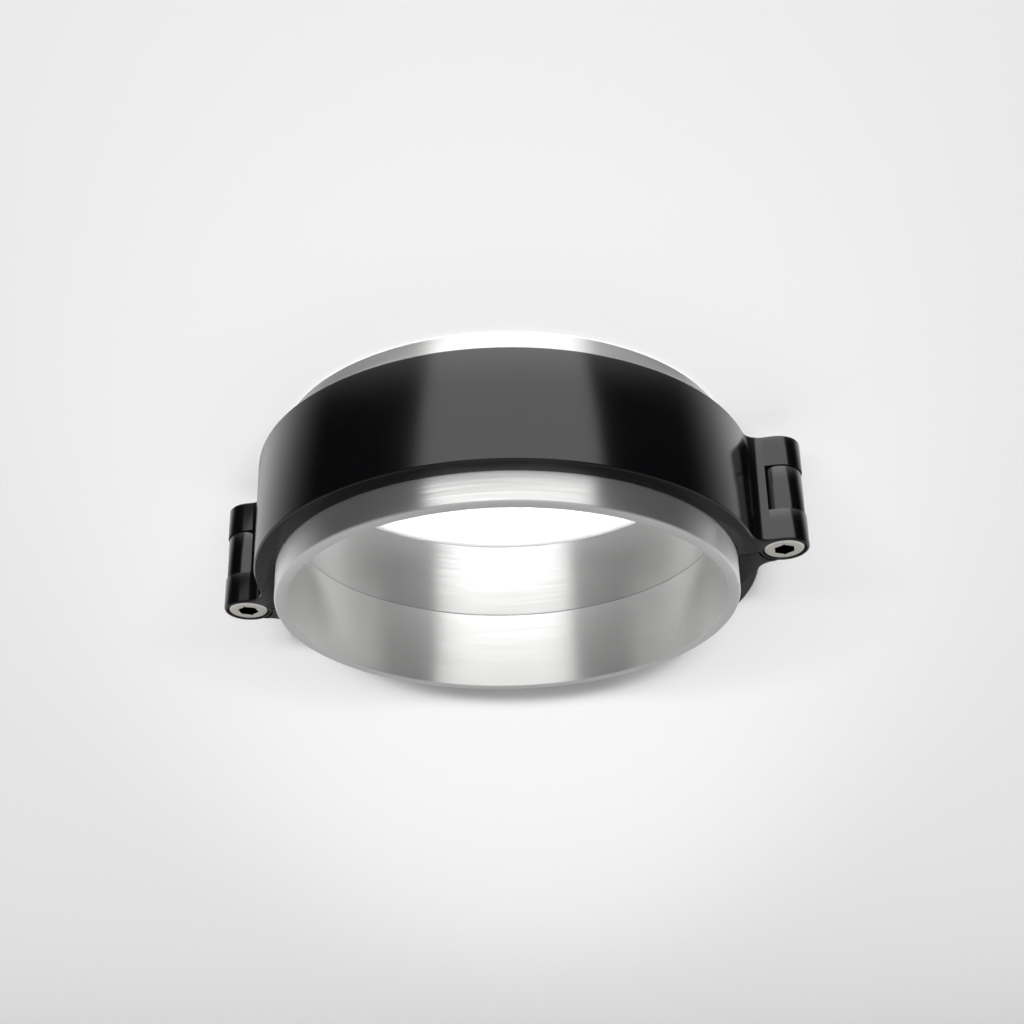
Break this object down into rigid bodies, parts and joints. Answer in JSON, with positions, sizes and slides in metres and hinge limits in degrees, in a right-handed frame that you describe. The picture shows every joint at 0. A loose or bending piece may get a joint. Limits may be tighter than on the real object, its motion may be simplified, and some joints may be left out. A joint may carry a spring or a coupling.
{
  "type": "intercooler clamp",
  "caption": "Hinged split-ring clamp that joins weld-on pipe ends over a sleeve with rubber seals, closed by sunk socket screws.",
  "frame": {"origin": "centre of the lower weld face, on the ring axis, which is the bottom centre of the whole joint", "axes": "+Z along the ring axis towards the pipe end with the screw heads, +X through the hinge lug, -Y towards the clamp half that carries the ears"},
  "size_m": [0.1326, 0.1108, 0.0381],
  "materials": {
    "bare_aluminium": "turned, unpolished",
    "black_anodised": "satin black anodised",
    "seal_rubber": "smooth black rubber",
    "stainless_screw": "plain stainless steel"
  },
  "bodies": {
    "lower_end": {"ferrule_lower": "bare_aluminium", "seal_lower": "seal_rubber", "sleeve": "bare_aluminium"},
    "upper_end": {"ferrule_upper": "bare_aluminium", "seal_upper": "seal_rubber"},
    "front_half": {"clamp_front": "black_anodised", "hinge_screw": "stainless_screw"},
    "rear_half": {"clamp_rear": "black_anodised"},
    "screw_out": {"closing_screw": "stainless_screw"}
  },
  "joints": [
    {"name": "upper_end_turn", "type": "hinge", "parent": "lower_end", "child": "upper_end", "pos_m": [0, 0, 0.01905], "axis": [0, 0, 1], "continuous": true},
    {"name": "clamp_turn", "type": "hinge", "parent": "lower_end", "child": "front_half", "pos_m": [0, 0, 0.01905], "axis": [0, 0, 1], "continuous": true},
    {"name": "clamp_open", "type": "hinge", "parent": "front_half", "child": "rear_half", "pos_m": [0.0609, 0, 0.01905], "axis": [0, 0, -1], "range_deg": [0, 120]},
    {"name": "closing_screw_lift", "type": "slide", "parent": "front_half", "child": "screw_out", "axis": [0, 0, 1], "range_m": [0, 0.027]}
  ],
  "couplings": [
    {"joint": "closing_screw_lift", "follows": "clamp_open", "m_per_rad": 0.01289}
  ]
}
